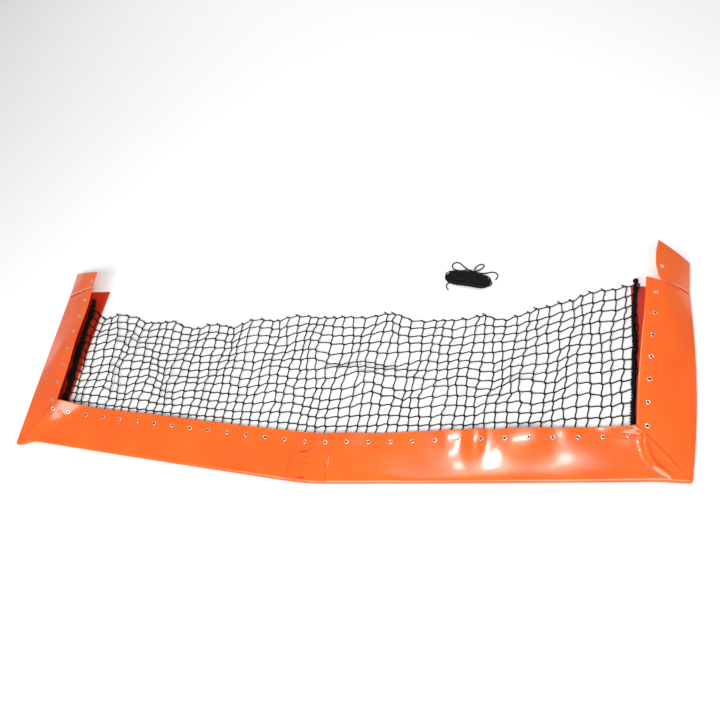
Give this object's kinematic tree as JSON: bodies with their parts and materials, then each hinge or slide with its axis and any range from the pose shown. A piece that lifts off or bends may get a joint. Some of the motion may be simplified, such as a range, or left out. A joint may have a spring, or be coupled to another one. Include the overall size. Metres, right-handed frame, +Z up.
{
  "type": "net panel with vinyl skirt",
  "caption": "U-shaped folded vinyl skirt holding a flat knotted net panel, with lacing eyelets, edge ropes and a hank of lacing cord.",
  "frame": {"origin": "on the floor under the front run's eyelet row, at the row's slight bend", "axes": "+X along the right half of the front run, +Y into the net towards the arms' free ends, +Z up"},
  "size_m": [2.1715, 0.8389, 0.1027],
  "materials": {
    "vinyl": "gloss",
    "net_twine": "matt",
    "rope": "matt",
    "eyelet_metal": "polished",
    "label": "satin",
    "stitching": "matt",
    "lacing_cord": "matt"
  },
  "bodies": {
    "skirt": {"front_lower_leaf": "vinyl", "front_fold": "vinyl", "front_upper_leaf": "vinyl", "front_eyelets": "eyelet_metal", "net": "net_twine", "label_patch": "label", "label_seams": "stitching", "label_bar_tacks": "stitching", "right_lower_leaf": "vinyl", "right_fold": "vinyl", "right_edge_rope": "rope", "right_corner_pleat": "vinyl", "right_corner_tuck": "vinyl", "left_lower_leaf": "vinyl", "left_fold": "vinyl", "left_edge_rope": "rope", "left_corner_pleat": "vinyl", "left_corner_tuck": "vinyl"},
    "right_flap": {"right_upper_leaf": "vinyl", "right_eyelets": "eyelet_metal"},
    "left_flap": {"left_upper_leaf": "vinyl", "left_eyelets": "eyelet_metal"},
    "right_end_tab": {"right_tab": "vinyl", "right_tab_eyelet": "eyelet_metal"},
    "left_end_tab": {"left_tab": "vinyl", "left_tab_eyelet": "eyelet_metal"},
    "hank": {"hank_bundle": "lacing_cord", "hank_tie": "lacing_cord", "hank_loops": "lacing_cord"}
  },
  "joints": [
    {"name": "right_flap_fold", "type": "hinge", "parent": "skirt", "child": "right_flap", "pos_m": [1.03702, -0.01526, 0.00575], "axis": [0.1219, 0.9925, 0], "range_deg": [-33, 46]},
    {"name": "right_tab_crease", "type": "hinge", "parent": "right_flap", "child": "right_end_tab", "pos_m": [1.09714, 0.44282, 0.01105], "axis": [0.803, -0.0986, -0.5878], "range_deg": [-1, 92]},
    {"name": "left_flap_fold", "type": "hinge", "parent": "skirt", "child": "left_flap", "pos_m": [-1.04451, 0.14289, 0.00575], "axis": [-0.0698, -0.9976, 0], "range_deg": [-20, 58]},
    {"name": "left_tab_crease", "type": "hinge", "parent": "left_flap", "child": "left_end_tab", "pos_m": [-1.01494, 0.60395, 0.01173], "axis": [0.9113, -0.0637, 0.4067], "range_deg": [-1, 92]},
    {"name": "hank_lift", "type": "slide", "parent": "skirt", "child": "hank", "axis": [0, 0, 1], "range_m": [0, 0.15]}
  ]
}
